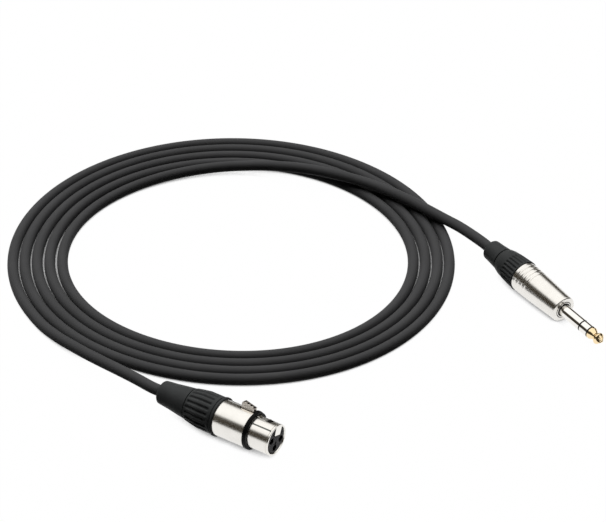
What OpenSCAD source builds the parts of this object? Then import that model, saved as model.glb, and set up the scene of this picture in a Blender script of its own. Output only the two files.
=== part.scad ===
// Coiled microphone cable: a three-pole socket connector at one end, a three-contact
// jack at the other. Millimetres, +Z up, lying on the plane z = 0.

/* [Cable] */
// Outer diameter of the cable jacket
cable_d = 5.8; // [5.4:0.1:5.9]
// Free space between neighbouring strands of the coil
strand_gap = 0.5; // [0.49:0.01:0.6]
// Diameter of each insulated core
core_d = 1.4; // [1.2:0.1:1.5]

/* [Coil] */
// Mean radius of the outermost strand
coil_r = 116; // [110:1:120]
// How far the oval leaves a circle
coil_oval = 2.9; // [0:0.1:4]

/* [Socket connector] */
// Diameter of the nose that enters the mating connector
nose_d = 16; // [15.8:0.1:16.2]
// Length of the nose in front of the ring
nose_len = 11.9; // [11.5:0.1:12.4]
// Width of the black ring
ring_w = 2; // [1.8:0.1:2.4]
// Diameter of the black ring
ring_d = 19; // [18.6:0.1:19.4]
// Diameter of the rear barrel
barrel_d = 18.4; // [18.2:0.1:18.8]
// Length of the rear barrel
barrel_len = 17.5; // [17.3:0.1:18.5]
// Length of the fluted bushing
bush_len = 17.8; // [17.2:0.1:18.4]
// Length of the smooth rear sleeve
boot_len = 18.1; // [16:0.1:20]
// Diameter of the circle the three sockets stand on
pole_circle_d = 8; // [7.8:0.1:8.2]
// Bore of each socket
pole_bore_d = 2.4; // [2.3:0.05:2.5]
// Number of flutes round the bushing
flutes = 20; // [12:1:24]

/* [Latch] */
// Width of the latch arm
arm_w = 3.4; // [3:0.1:3.6]
// Width of the thumb pad
pad_w = 3.2; // [3:0.1:3.6]
// Height of the thumb pad above the connector axis
pad_top = 12.7; // [12:0.1:13]
// Height of the tooth above the nose
tooth_h = 0.6; // [0.5:0.05:0.9]

/* [Jack] */
// Diameter of the jack shaft
shaft_d = 6.35; // [6.3:0.01:6.4]
// Length of the sleeve contact in front of the shell
shaft_len = 15.1; // [14:0.1:16]
// Length of the ring contact
ring_len = 5.2; // [4.8:0.1:5.6]
// Width of each black insulating ring
gap_w = 0.8; // [0.6:0.1:1]
// Length of the tip contact
tip_len = 8.8; // [8.4:0.1:9.2]
// Rear diameter of the metal shell
shell_d = 16.5; // [16.3:0.1:17]
// Front diameter of the metal shell
shell_front_d = 14; // [13.9:0.1:14.4]
// Length of the metal shell
shell_len = 33; // [32:0.1:35]
// Length of the jack bushing, fluted in front
jack_bush_len = 16.5; // [15.5:0.1:17.5]
// Length of the smooth jack sleeve
jack_boot_len = 11.2; // [10:0.1:13]
// Number of flutes round the jack bushing
jack_flutes = 24; // [12:1:28]

/* [Hidden] */
round_fn = 96;
small_fn = 32;
eps = 0.01;

cable_r = cable_d / 2;
core_r = core_d / 2;
pitch = cable_d + strand_gap;

// Coil: an inward spiral on a slightly oval line, travelled clockwise.
coil_centre = [-76.6, 87.7, 0];
oval_turn = -19;
coil_lean = 1.35;
coil_third = 0.42;
third_turn = 73.6;
loosen = 0.165;
loose_turn = 105;
join_angle = 237;
step_angle = 15;
first_step = 2;
last_step = 106;
lift_step = 102;
lift_h = 3;
lift_out = 0.3;
tube_sides = 6;
tail_sides = 8;

function oval(a) = coil_r - coil_lean * sin(a) + coil_oval * cos(2 * (a - oval_turn))
    + coil_third * cos(3 * (a - third_turn));
function polar(a, r, z) = coil_centre + [r * cos(a), r * sin(a), z];
function lift(i) = i < lift_step ? 0 : pow((i - lift_step) / (last_step - lift_step), 2);
function ease_in(a, t) = loosen * pow(t * (1 + cos(a - loose_turn)) / 2, 2);
function spiral(i) = let (a = join_angle - i * step_angle, t = i * step_angle / 360)
    polar(a, oval(a) - pitch * t - ease_in(a, t) + lift_out * lift(i),
        cable_r + lift_h * lift(i));
coil_path = [for (i = [first_step:last_step]) spiral(i)];
coil_start_dir = unit(spiral(first_step + 1) - spiral(first_step - 1));
coil_end_dir = unit(spiral(last_step) - spiral(last_step - 1));

// A point on the line of the outermost strand: angle, strands outward, height.
function beside(p) = let (travel = (join_angle - p[0]) / 360)
    polar(p[0], oval(p[0]) + pitch * (p[1] - travel), p[2]);

// Socket connector: its axis, turned toward the reader and rolled on its side.
xlr_at = [0.2049, -1.426];
xlr_face = coil_centre + coil_r * [xlr_at[0], xlr_at[1], 0];
xlr_turn = -33.7;
xlr_roll = 22;
bush_rim_d = 20;
xlr_z = max(bush_rim_d, ring_d) / 2;
x_ring = -nose_len;
x_step = x_ring - ring_w;
x_joint = x_step - barrel_len;
x_neck = x_joint - bush_len;
x_rear = x_neck - boot_len;

// Jack: its axis, turned toward the reader and tipped forward on its cone.
jack_at = [1.4652, -0.4845];
jack_root = coil_centre + coil_r * [jack_at[0], jack_at[1], 0];
jack_turn = -55.5;
jack_tip_down = 3;
j_joint = -shell_len;
j_neck = j_joint - jack_bush_len;
j_rear = j_neck - jack_boot_len;
jack_z = shell_front_d / 2 * cos(jack_tip_down);

function heading(turn, down) = [cos(turn) * cos(down), sin(turn) * cos(down), -sin(down)];
xlr_dir = heading(xlr_turn, 0);
jack_dir = heading(jack_turn, jack_tip_down);
xlr_exit = [xlr_face[0], xlr_face[1], xlr_z] + x_rear * xlr_dir;
jack_exit = [jack_root[0], jack_root[1], jack_z] + j_rear * jack_dir;

// Free stretches, ring by ring.
xlr_tail_route = [[214, 0.05, 3.1], [221, 0.1, 4], [227.5, 0.2, 5.1], [233.5, 0.45, 6.3],
    [239, 0.8, 7.5], [244.5, 1.3, 8.7], [249, 1.85, 9.5]];
jack_tail_route = [[80, -4.4, 6.8], [73, -4.35, 7.7], [66, -4.2, 8.5], [58.5, -3.95, 9],
    [51, -3.6, 9.2], [43.5, -3.1, 9.3], [36, -2.5, 9.3], [29, -1.9, 9.3], [22.5, -1.2, 9.3],
    [16.5, -0.45, 9.4], [11.5, 0.4, 9.4], [7.6, 1.2, 9.7], [3.7, 1.95, 10.2]];
straight_end = 6;
tail_xlr_path = concat([spiral(first_step)], [for (p = xlr_tail_route) beside(p)],
    [xlr_exit - straight_end * xlr_dir, xlr_exit]);
tail_jack_path = concat([spiral(last_step)], [for (p = jack_tail_route) beside(p)],
    [jack_exit - straight_end * jack_dir, jack_exit]);

// Tubes: rings of points joined by triangles.
function unit(v) = v / norm(v);
function along(p, i, first, last) = i == 0 ? first : i == len(p) - 1 ? last
    : unit(unit(p[i + 1] - p[i]) + unit(p[i] - p[i - 1]));
function flat_side(t) = unit(cross([0, 0, 1], t));
function hoop(c, t, r, n, side) = let (s = side, u = cross(t, s))
    [for (k = [0:n - 1]) c + r * cos(360 * k / n) * s + r * sin(360 * k / n) * u];
function skin(n, count) = concat(
    [for (k = [1:n - 2]) [0, k, k + 1]],
    [for (i = [0:count - 2], k = [0:n - 1])
        [i * n + k, (i + 1) * n + k, (i + 1) * n + (k + 1) % n]],
    [for (i = [0:count - 2], k = [0:n - 1])
        [i * n + k, (i + 1) * n + (k + 1) % n, i * n + (k + 1) % n]],
    [for (k = [1:n - 2]) (count - 1) * n * [1, 1, 1] + [0, k + 1, k]]);

module tube(path, r, n, first, last) {
    points = [for (i = [0:len(path) - 1]) let (t = along(path, i, first, last))
        each hoop(path[i], t, r, n, flat_side(t))];
    polyhedron(points = points, faces = skin(n, len(path)));
}

// Least free space between strands, point to strand.
function reach(p, a, b) = let (d = b - a, t = max(0, min(1, (p - a) * d / (d * d))))
    norm(p - a - t * d);
turn_steps = 360 / step_angle;
coil_clear = min([for (i = [0:len(coil_path) - 1 - turn_steps])
    min([for (j = [i + turn_steps - 4:min(len(coil_path) - 2, i + turn_steps + 4)])
        reach(coil_path[i], coil_path[j], coil_path[j + 1])])]) - cable_d;
cross_clear = min([for (p = [for (k = [2:len(tail_jack_path) - 1]) tail_jack_path[k]])
    min([for (j = [0:len(coil_path) - 10]) reach(p, coil_path[j], coil_path[j + 1])])]) - cable_d;
echo(coil_clear = coil_clear, cross_clear = cross_clear);
function run(p, i = 0) = i >= len(p) - 1 ? 0 : norm(p[i + 1] - p[i]) + run(p, i + 1);
echo(length = run(coil_path) + run(tail_xlr_path) + run(tail_jack_path));
echo(xlr_exit = xlr_exit, jack_exit = jack_exit);

module place_xlr() {
    translate([xlr_face[0], xlr_face[1], xlr_z]) rotate([0, 0, xlr_turn])
        rotate([-xlr_roll, 0, 0]) children();
}

module place_jack() {
    translate([jack_root[0], jack_root[1], jack_z]) rotate([0, 0, jack_turn])
        rotate([0, jack_tip_down, 0]) children();
}

// Solid of revolution about X from [radius, station] points.
module lathe(points, fn = round_fn) {
    rotate([0, 90, 0]) rotate_extrude($fn = fn) polygon(points);
}

// Rounded edge of a turned profile, from one direction to another.
corner_steps = 3;
function corner(r, x, radius, from, to) = [for (k = [0:corner_steps])
    let (a = from + (to - from) * k / corner_steps) [r + radius * cos(a), x + radius * sin(a)]];

// Straight round bar along X.
module bar(x0, x1, r, y = 0, z = 0, fn = small_fn) {
    translate([x0, y, z]) rotate([0, 90, 0]) cylinder(h = x1 - x0, r = r, $fn = fn);
}

// Block between two corners, centred on y = 0.
module block(x0, x1, w, z0, z1) {
    translate([x0, -w / 2, z0]) cube([x1 - x0, w, z1 - z0]);
}

// Long rounded grooves cut round a bushing.
module flute_cutters(count, x0, r0, x1, r1, cut_r, depth) {
    slope = atan2(r1 - r0, x1 - x0);
    for (k = [0:count - 1]) rotate([360 * (k + 0.5) / count, 0, 0])
        translate([x0, 0, r0 + cut_r - depth]) rotate([0, 90 - slope, 0]) {
            cylinder(h = norm([x1 - x0, r1 - r0]), r = cut_r, $fn = small_fn);
            sphere(r = cut_r, $fn = small_fn);
            translate([0, 0, norm([x1 - x0, r1 - r0])]) sphere(r = cut_r, $fn = small_fn);
        }
}

// Split collet that grips the jacket: body, cone and four slots.
chuck_slot = 0.8;
module collet(front, cone_x, back, body_r, end_r, open_r, grip_x) {
    difference() {
        lathe([[open_r, front], [body_r, front], [body_r, cone_x], [end_r, back],
            [cable_r, back], [cable_r, grip_x], [open_r, grip_x]]);
        for (k = [0:1]) rotate([90 * k + 45, 0, 0])
            block(back - 1, grip_x - 1, body_r * 2 + 1, -chuck_slot / 2, chuck_slot / 2);
    }
}

// ---- Cable ----
module cable_coil() {
    color([0.16, 0.16, 0.17]) tube(coil_path, cable_r, tube_sides, coil_start_dir, coil_end_dir);
}

module cable_tail_xlr() {
    color([0.16, 0.16, 0.17]) tube(tail_xlr_path, cable_r, tail_sides, -coil_start_dir, xlr_dir);
}

module cable_tail_jack() {
    color([0.16, 0.16, 0.17]) tube(tail_jack_path, cable_r, tail_sides, coil_end_dir, jack_dir);
}

// ---- Socket connector ----
nose_r = nose_d / 2;
barrel_r = barrel_d / 2;
nose_wall = 1.1;
barrel_wall = 1.2;
insert_r = nose_r - nose_wall;
barrel_bore_r = barrel_r - barrel_wall;
step_wall = 3.6;
x_shoulder = x_step - step_wall;
lip = 0.7;
edge = 0.5;
insert_back = 0.6;
flange_len = 5;
x_flange = x_shoulder - flange_len;
key_w = 5;
key_depth = 4.4;
key_len = 2.6;
key_wall = 0.6;
arm_clear = 0.3;
slot_w = max(arm_w, pad_w) + 2 * arm_clear;
pad_gap = 0.5;
pad_len = 7.9;
pad_front = x_step - pad_gap;
pad_back = x_step - pad_len;
window_back = pad_back - 0.6;
window_front = -4.1;
window_floor = nose_r - 2.7;
pivot_back = 13.6;
pivot_x = x_step - pivot_back;
pivot_z = barrel_bore_r - 1.7;
pivot_r = 0.6;
pivot_run = 0.05;
boss_r = 1.2;
arm_floor = pivot_z - 2.1;
pad_floor = pivot_z - 0.7;
ear_t = 1.2;
ear_y0 = slot_w / 2;
ear_y1 = ear_y0 + ear_t;
ear_top = pivot_z + 0.9;
ear_low = pivot_z - 3.3;
ear_back = 1.4;
bush_nose_len = 1.8;
thread_gap = 0.05;

module xlr_shell() {
    color([0.8, 0.78, 0.74]) place_xlr() {
        difference() {
            lathe([[insert_r, -edge], [insert_r + edge, 0], each corner(nose_r - lip, -lip, lip, 90, 0),
                [nose_r, x_step], each corner(barrel_r - edge, x_step - edge, edge, 90, 0),
                [barrel_r, x_joint], [barrel_bore_r, x_joint], [barrel_bore_r, x_shoulder],
                [insert_r, x_shoulder]]);
            block(x_shoulder - eps, window_front, slot_w, window_floor, barrel_r + 1);
            block(window_back, x_step + eps, slot_w, pad_floor, barrel_r + 1);
        }
        key_trough();
    }
}

// Metal trough in the mouth, open to the front, where the mating key comes in.
module key_trough() {
    key_z = insert_r - key_depth;
    difference() {
        intersection() {
            block(-edge - key_len, -edge, key_w, key_z, insert_r + 1);
            bar(-edge - key_len - 1, 0, insert_r + eps, fn = round_fn);
        }
        block(-edge - key_len + key_wall * 2, 0, key_w - 2 * key_wall, key_z + key_wall,
            insert_r - key_wall);
    }
}

hood_r = 4.1;
hood_z = nose_r - 1.8;
passage_low = nose_r - 1.7;
passage_top = nose_r + 0.8;
ring_edge = 0.4;

module xlr_ring() {
    r = ring_d / 2;
    color([0.05, 0.05, 0.05]) place_xlr() difference() {
        union() {
            lathe([[nose_r, x_ring], each corner(r - ring_edge, x_ring - ring_edge, ring_edge, 90, 0),
                each corner(r - ring_edge, x_step + ring_edge, ring_edge, 0, -90), [nose_r, x_step]]);
            bar(x_step, x_ring, hood_r, z = hood_z, fn = round_fn);
        }
        bar(x_step - 1, x_ring + 1, nose_r, fn = round_fn);
        block(x_step - 1, x_ring + 1, slot_w, passage_low, passage_top);
    }
}

tooth_front = -4.7;
tooth_len = 2.4;
tooth_chamfer = 0.5;
arm_low = nose_r - 1.9;
arm_top = nose_r - 0.3;
under_hood = nose_r + 0.4;
hump_end = 1.8;
arm_rear_low = pivot_z - 0.9;
arm_rear_top = pivot_z + 0.8;
pad_seat = pad_floor + 0.3;
pad_slope = 1.4;
pad_low = pivot_z + 0.7;
pad_root = pivot_z + 1.4;
pad_chamfer = 0.8;
ridge_r = 0.45;
ridge_sink = 0.1;
ridges = 4;

// Bar of the latch's outline, centred on the arm's plane.
module side_bar(w, outline) {
    rotate([90, 0, 0]) linear_extrude(height = w, center = true) polygon(outline);
}

module xlr_latch() {
    tooth_top = nose_r + tooth_h;
    tooth_back = tooth_front - tooth_len;
    color([0.72, 0.7, 0.66]) place_xlr() difference() {
        union() {
            side_bar(arm_w, [[x_step - 1, arm_low], [tooth_front, arm_low],
                [tooth_front, tooth_top - tooth_chamfer], [tooth_front - tooth_chamfer, tooth_top],
                [tooth_back + tooth_chamfer, tooth_top], [tooth_back, arm_top],
                [x_ring + hump_end, arm_top], [x_ring, under_hood], [x_step - 1, under_hood]]);
            side_bar(arm_w, [[pivot_x, arm_rear_low], [pad_back, pad_seat], [pad_front, pad_seat],
                [pad_front, pad_root], [pad_back, pad_root], [pad_back, arm_rear_top],
                [pivot_x, arm_rear_top]]);
            side_bar(pad_w, [[pad_back, pad_low], [pad_front, pad_low],
                [pad_front, pad_top - pad_slope], [pad_back + pad_chamfer, pad_top],
                [pad_back, pad_top - pad_chamfer]]);
            cross_bar(pivot_x, pivot_z, boss_r, arm_w);
            pad_ridges();
        }
        cross_bar(pivot_x, pivot_z, pivot_r + pivot_run, arm_w * 2);
    }
}

// Round bar across the latch's plane.
module cross_bar(x, z, r, w) {
    translate([x, w / 2, z]) rotate([90, 0, 0]) cylinder(h = w, r = r, $fn = small_fn);
}

// Thumb ridges across the pad.
module pad_ridges() {
    x0 = pad_back + pad_chamfer + ridge_r;
    x1 = pad_front - ridge_r;
    for (k = [0:ridges - 1]) let (t = k / (ridges - 1))
        cross_bar(x0 + (x1 - x0) * t, pad_top - ridge_sink * 3 - (pad_slope - ridge_sink) * t,
            ridge_r, pad_w);
}

module xlr_latch_pin() {
    color([0.6, 0.6, 0.62]) place_xlr() cross_bar(pivot_x, pivot_z, pivot_r, ear_y1 * 2);
}

spring_back = 5.2;
spring_x = x_step - spring_back;
spring_r = 0.95;
spring_wire = 0.36;
spring_turns = 5;
spring_steps = 8;
spring_foot = 1.2;
pocket_r = 1.5;

module xlr_latch_spring() {
    run_h = pad_seat - spring_foot - 2 * spring_wire;
    count = spring_turns * spring_steps;
    coils = [for (i = [0:count]) let (a = 360 * i / spring_steps)
        [spring_x + spring_r * cos(a), spring_r * sin(a),
            spring_foot + spring_wire + run_h * i / count]];
    path = concat([[spring_x + spring_r, 0, spring_foot]], coils,
        [[spring_x + spring_r, 0, pad_seat]]);
    color([0.55, 0.55, 0.57]) place_xlr() wire_spring(path);
}

// Wound wire with upright ends.
module wire_spring(path) {
    points = [for (i = [0:len(path) - 1]) let (t = along(path, i, [0, 0, 1], [0, 0, 1]),
        away = path[i] - [spring_x, 0, path[i][2]])
        each hoop(path[i], t, spring_wire / 2, tube_sides, unit(away - (away * t) * t))];
    polyhedron(points = points, faces = skin(tube_sides, len(path)));
}

pole_r = pole_circle_d / 2;
pole_hole_r = 1.5;
socket_r = 1.75;
socket_front = -2.2;
lead = 0.8;
bore_back = -13;
cup_r = 1.5;
cup_bore_r = 0.95;
cup_len = 5;
cup_depth = 3.4;
pip_r = 0.45;

function pole(k) = [pole_r * [1, -1, 0][k], pole_r * [0, 0, -1][k]];

module xlr_insert() {
    color([0.13, 0.13, 0.14]) place_xlr() {
        difference() {
            union() {
                bar(x_shoulder, -insert_back, insert_r, fn = round_fn);
                bar(x_flange, x_shoulder, barrel_bore_r, fn = round_fn);
            }
            for (k = [0:2]) {
                bar(socket_front, 0, pole_hole_r, pole(k)[0], pole(k)[1]);
                bar(x_flange - 1, socket_front, socket_r, pole(k)[0], pole(k)[1]);
            }
            block(-edge - key_len, 0, key_w, insert_r - key_depth, insert_r + 1);
            block(x_flange - 1, window_front, slot_w, arm_floor, barrel_r);
            translate([spring_x, 0, spring_foot]) cylinder(h = arm_floor, r = pocket_r,
                $fn = small_fn);
        }
        translate([-insert_back, 0, -pole_r / 3]) sphere(r = pip_r, $fn = small_fn);
        for (s = [-1, 1]) difference() {
            translate([pivot_x - ear_back, s > 0 ? ear_y0 : -ear_y1, ear_low])
                cube([x_flange - pivot_x + ear_back + eps, ear_t, ear_top - ear_low]);
            cross_bar(pivot_x, pivot_z, pivot_r, ear_y1 * 3);
        }
    }
}

// Tubular contact with a solder cup behind.
module socket_contact(k, recess) {
    y = pole(k)[0];
    z = pole(k)[1];
    cup_back = x_flange - cup_len;
    place_xlr() difference() {
        union() {
            bar(x_flange, socket_front - recess, socket_r, y, z);
            bar(cup_back, x_flange, cup_r, y, z);
        }
        bar(bore_back, 0, pole_bore_d / 2, y, z);
        bar(cup_back - 1, cup_back + cup_depth, cup_bore_r, y, z);
        translate([cup_back - 1, y - cup_r * 1.5, z]) cube([cup_len - 1, cup_r * 3, cup_r * 2]);
    }
}

module xlr_socket_shield() {
    color([0.8, 0.68, 0.4]) socket_contact(2, 0);
}

module xlr_socket_hot() {
    color([0.8, 0.68, 0.4]) socket_contact(0, lead);
}

module xlr_socket_cold() {
    color([0.8, 0.68, 0.4]) socket_contact(1, lead);
}

// Core from the cut jacket to a solder point, straight at both ends.
core_seat = 1.2;
core_tip = 3.7;
core_bend = [0.28, 0.4, 0.52];
core_share = [0.2, 0.5, 0.85];
module core(x0, from, x1, to) {
    bends = [for (k = [0:2]) let (m = core_share[k])
        [x0 + core_bend[k] * (x1 - x0), from[0] * (1 - m) + to[0] * m,
            from[1] * (1 - m) + to[1] * m]];
    path = concat([[x0, from[0], from[1]], [x0 + core_d, from[0], from[1]]], bends,
        [[x1 - core_tip, to[0], to[1]], [x1, to[0], to[1]]]);
    tube(path, core_r, tail_sides, [1, 0, 0], [1, 0, 0]);
}

xlr_jacket_end = x_joint - 3.3;
xlr_cup_seat = x_flange - cup_len + cup_depth;
module xlr_core_shield() {
    color([0.72, 0.45, 0.3]) place_xlr()
        core(xlr_jacket_end, [0, -core_seat], xlr_cup_seat, pole(2));
}

module xlr_core_hot() {
    color([0.7, 0.1, 0.08]) place_xlr()
        core(xlr_jacket_end, [core_seat, core_seat / 2], xlr_cup_seat, pole(0));
}

module xlr_core_cold() {
    color([0.85, 0.85, 0.82]) place_xlr()
        core(xlr_jacket_end, [-core_seat, core_seat / 2], xlr_cup_seat, pole(1));
}

chuck_r = 6.5;
chuck_end_r = 4.6;
chuck_open_r = 4.4;
chuck_front = x_joint + 1.6;
chuck_cone = x_joint - 6.8;
chuck_back = x_joint - 12.2;
chuck_grip = x_joint - 4.8;
chuck_clear = 0.1;

module xlr_chuck() {
    color([0.2, 0.2, 0.2]) place_xlr() collet(chuck_front, chuck_cone, chuck_back, chuck_r,
        chuck_end_r, chuck_open_r, chuck_grip);
}

neck_r = 8.45;
boot_bore_r = cable_r + 0.15;
spigot_len = 3.6;
rim_w = 1.6;
rim_groove = 0.3;
rim_drop = 0.4;
flute_r = 0.8;
flute_depth = 0.5;
flute_lead = 4.8;
flute_front = x_joint - flute_lead;
flute_back = x_neck + 1.4;
flute_back_r = neck_r + 0.45;
fall_start = 6.7;
fall_mid = 3.7;
fall_drop = 0.55;
neck_bead = 0.8;

module xlr_bushing() {
    rim = bush_rim_d / 2;
    body = rim - rim_drop;
    nose = barrel_bore_r - thread_gap;
    inner = chuck_r + chuck_clear;
    groove_back = x_joint - rim_w - rim_groove;
    color([0.08, 0.08, 0.085]) place_xlr() difference() {
        lathe([[inner, x_joint + bush_nose_len], [nose, x_joint + bush_nose_len], [nose, x_joint],
            each corner(rim - rim_groove, x_joint - rim_groove, rim_groove, 90, 0),
            [rim, x_joint - rim_w + rim_groove / 2], [rim - rim_groove, x_joint - rim_w],
            [rim - rim_groove, groove_back], [body, groove_back - rim_groove / 2],
            [body, x_neck + fall_start], [body - fall_drop, x_neck + fall_mid],
            [neck_r + 0.1, x_neck + neck_bead], [neck_r - 0.15, x_neck],
            [chuck_end_r, x_neck], [chuck_end_r, chuck_back - rim_groove],
            [chuck_end_r + chuck_clear * 2, chuck_back - rim_groove], [inner, chuck_cone]]);
        flute_cutters(flutes, flute_back, flute_back_r, flute_front, body, flute_r, flute_depth);
    }
}

boot_rear_r = 5.9;
boot_round = 1.2;
boot_mid = 6.8;
boot_mid_r = boot_rear_r + 0.7;
boot_fore = boot_len - 5.3;
boot_fore_r = boot_rear_r + 1.57;
neck_step = 0.4;

module xlr_boot() {
    color([0.07, 0.07, 0.075]) place_xlr()
        lathe([[boot_bore_r, x_rear],
            each corner(boot_rear_r - boot_round, x_rear + boot_round, boot_round, -90, 0),
            [boot_mid_r, x_rear + boot_mid], [boot_fore_r, x_rear + boot_fore],
            [neck_r - neck_step, x_neck], [chuck_end_r, x_neck],
            [chuck_end_r, x_neck + spigot_len], [boot_bore_r, x_neck + spigot_len]]);
}

module cable_end_xlr() {
    color([0.16, 0.16, 0.17]) place_xlr() bar(x_rear, xlr_jacket_end, cable_r);
}

// ---- Jack ----
shaft_r = shaft_d / 2;
shell_r = shell_d / 2;
shell_front_r = shell_front_d / 2;
shell_lip = 1;
collar_r = 3.95;
collar_out = 0.1;
collar_back = -2.5;
mouth_r = 4.7;
mouth_clear = 0.05;
web_len = 6;
flange_r = 6.4;
flange_back = -9;
stack_r = 4.4;
stack_back = -13;
stack_step = 0.8;
shell_wall = 1.3;
shell_bore_r = shell_r - shell_wall;
shell_fore_r = flange_r + mouth_clear;
bore_step = 12;
groove_w = 0.7;
groove_d = 0.4;
groove_flare = 0.2;
groove_start = j_joint + 1.6;
grooves = 4;
groove_pitch = 1.7;
taper_len = 8.4;
taper_start = j_joint + taper_len;

module jack_shell() {
    color([0.82, 0.8, 0.75]) place_jack() difference() {
        lathe([[mouth_r, 0], each corner(shell_front_r - shell_lip, -shell_lip, shell_lip, 90, 0),
            [shell_r, taper_start], [shell_r, j_joint],
            [shell_bore_r, j_joint], [shell_bore_r, j_joint + bore_step],
            [shell_fore_r, j_joint + bore_step + 1], [shell_fore_r, -web_len], [mouth_r, -web_len]]);
        for (k = [0:grooves - 1]) let (x = groove_start + k * groove_pitch)
            lathe([[shell_r - groove_d, x], [shell_r + 1, x - groove_flare],
                [shell_r + 1, x + groove_w + groove_flare], [shell_r - groove_d, x + groove_w]]);
    }
}

sleeve_bore_r = 2.35;
outer_tube_r = 1.75;
inner_tube_r = 1.35;
rod_r = 0.95;
tag_t = 0.8;
s1 = shaft_len;
s2 = s1 + gap_w;
s3 = s2 + ring_len;
s4 = s3 + gap_w;
s5 = s4 + tip_len;
b1 = stack_back - stack_step;
b2 = b1 - tag_t;
b3 = b2 - stack_step;
b4 = b3 - tag_t;

module jack_sleeve_contact() {
    color([0.85, 0.83, 0.78]) place_jack()
        lathe([[sleeve_bore_r, s1], [shaft_r, s1], [shaft_r, collar_out], [collar_r, collar_out],
            [collar_r, collar_back], [mouth_r - mouth_clear, collar_back],
            [mouth_r - mouth_clear, -web_len],
            [flange_r, -web_len], [flange_r, flange_back], [stack_r, flange_back],
            [stack_r, stack_back], [sleeve_bore_r, stack_back]]);
}

module jack_insulator_outer() {
    color([0.05, 0.05, 0.05]) place_jack()
        lathe([[outer_tube_r, s2], [shaft_r, s2], [shaft_r, s1], [sleeve_bore_r, s1],
            [sleeve_bore_r, b1], [outer_tube_r, b1]]);
}

module jack_ring_contact() {
    color([0.85, 0.83, 0.78]) place_jack()
        lathe([[inner_tube_r, s3], [shaft_r, s3], [shaft_r, s2], [outer_tube_r, s2],
            [outer_tube_r, b2], [inner_tube_r, b2]]);
}

module jack_insulator_inner() {
    color([0.05, 0.05, 0.05]) place_jack()
        lathe([[rod_r, s4], [shaft_r, s4], [shaft_r, s3], [inner_tube_r, s3],
            [inner_tube_r, b3], [rod_r, b3]]);
}

tip_nose_r = 0.8;
tip_nose_arc = [75, 30];
tip_cone_r = shaft_r - 0.1;
tip_cone = 2.8;
tip_land = 0.4;
tip_back = 3.7;
tip_waist_r = 2.1;
tip_waist = 5.4;
tip_waist_round = 0.6;
tip_base = 0.9;
tip_base_round = 0.3;

module jack_tip_contact() {
    color([0.85, 0.62, 0.25]) place_jack()
        lathe([[0, s5], each corner(0, s5 - tip_nose_r, tip_nose_r, tip_nose_arc[0], tip_nose_arc[1]),
            [tip_cone_r, s5 - tip_cone], [shaft_r, s5 - tip_cone - tip_land],
            [tip_cone_r, s5 - tip_back], [tip_waist_r + 0.15, s5 - tip_waist + tip_waist_round],
            [tip_waist_r, s5 - tip_waist], [tip_waist_r + 0.15, s5 - tip_waist - tip_waist_round],
            [shaft_r - 0.15, s4 + tip_base + tip_base_round], [shaft_r, s4 + tip_base],
            [shaft_r, s4], [rod_r, s4], [rod_r, b4 - 0.2], [0, b4 - 0.2]]);
}

tip_tag_r = 3.4;
ring_tag_r = stack_r;
tag_w = 2.4;
tag_len = 6;
tag_hole_r = 0.5;
tag_hole_in = 1.5;

// Two insulating washers in the contact stack.
module jack_washers() {
    color([0.35, 0.2, 0.12]) place_jack() {
        lathe([[sleeve_bore_r, b1], [sleeve_bore_r, stack_back], [stack_r, stack_back],
            [stack_r, b1]]);
        lathe([[inner_tube_r, b3], [inner_tube_r, b2], [tip_tag_r, b2], [tip_tag_r, b3]]);
    }
}

// Soldering tag: a ring on the stack and a strip running back.
module tag(x0, bore, r, side) {
    difference() {
        union() {
            bar(x0, x0 + tag_t, r, fn = round_fn);
            rotate([side, 0, 0]) block(x0 - tag_len, x0 + tag_t, tag_w, r - tag_t, r);
        }
        bar(x0 - 1, x0 + tag_t + 1, bore, fn = round_fn);
        rotate([side, 0, 0]) translate([x0 - tag_len + tag_hole_in, 0, 0])
            cylinder(h = r * 2, r = tag_hole_r, $fn = small_fn);
    }
}

ring_tag_side = 120;
tip_tag_side = 240;

module jack_tag_ring() {
    color([0.8, 0.7, 0.45]) place_jack() tag(b2, outer_tube_r, ring_tag_r, ring_tag_side);
}

module jack_tag_tip() {
    color([0.8, 0.7, 0.45]) place_jack() tag(b4, rod_r, tip_tag_r, tip_tag_side);
}

jaw_len = 14;
jaw_low = 4.7;
ground_r = flange_r - 0.2;

module jack_tag_ground() {
    color([0.8, 0.7, 0.45]) place_jack() difference() {
        union() {
            lathe([[stack_r, flange_back - tag_t], [stack_r, flange_back], [ground_r, flange_back],
                [ground_r, flange_back - tag_t]]);
            block(flange_back - jaw_len, flange_back, tag_w, jaw_low, jaw_low + tag_t);
        }
        translate([flange_back - jaw_len + tag_hole_in, 0, 0])
            cylinder(h = ground_r * 2, r = tag_hole_r, $fn = small_fn);
    }
}

jack_jacket_end = j_joint - 3;
function under_tag(r, side) = (r - tag_t - core_r) * [-sin(side), cos(side)];

module jack_core_hot() {
    color([0.7, 0.1, 0.08]) place_jack()
        core(jack_jacket_end, [core_seat, -core_seat / 2], b4 - tag_len + 1,
            under_tag(tip_tag_r, tip_tag_side));
}

module jack_core_cold() {
    color([0.85, 0.85, 0.82]) place_jack()
        core(jack_jacket_end, [-core_seat, -core_seat / 2], b2 - tag_len + 1,
            under_tag(ring_tag_r, ring_tag_side));
}

module jack_core_shield() {
    color([0.72, 0.45, 0.3]) place_jack()
        core(jack_jacket_end, [0, core_seat], flange_back - jaw_len + 2, [0, jaw_low - core_r]);
}

jchuck_r = 5.9;
jchuck_end_r = 4.2;
jchuck_front = j_joint + 3;
jchuck_cone = j_joint - 3.6;
jchuck_back = j_joint - 8.4;
jchuck_grip = j_joint - 3.4;

module jack_chuck() {
    color([0.2, 0.2, 0.2]) place_jack() collet(jchuck_front, jchuck_cone, jchuck_back, jchuck_r,
        jchuck_end_r, jchuck_r - 0.6, jchuck_grip);
}

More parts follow.
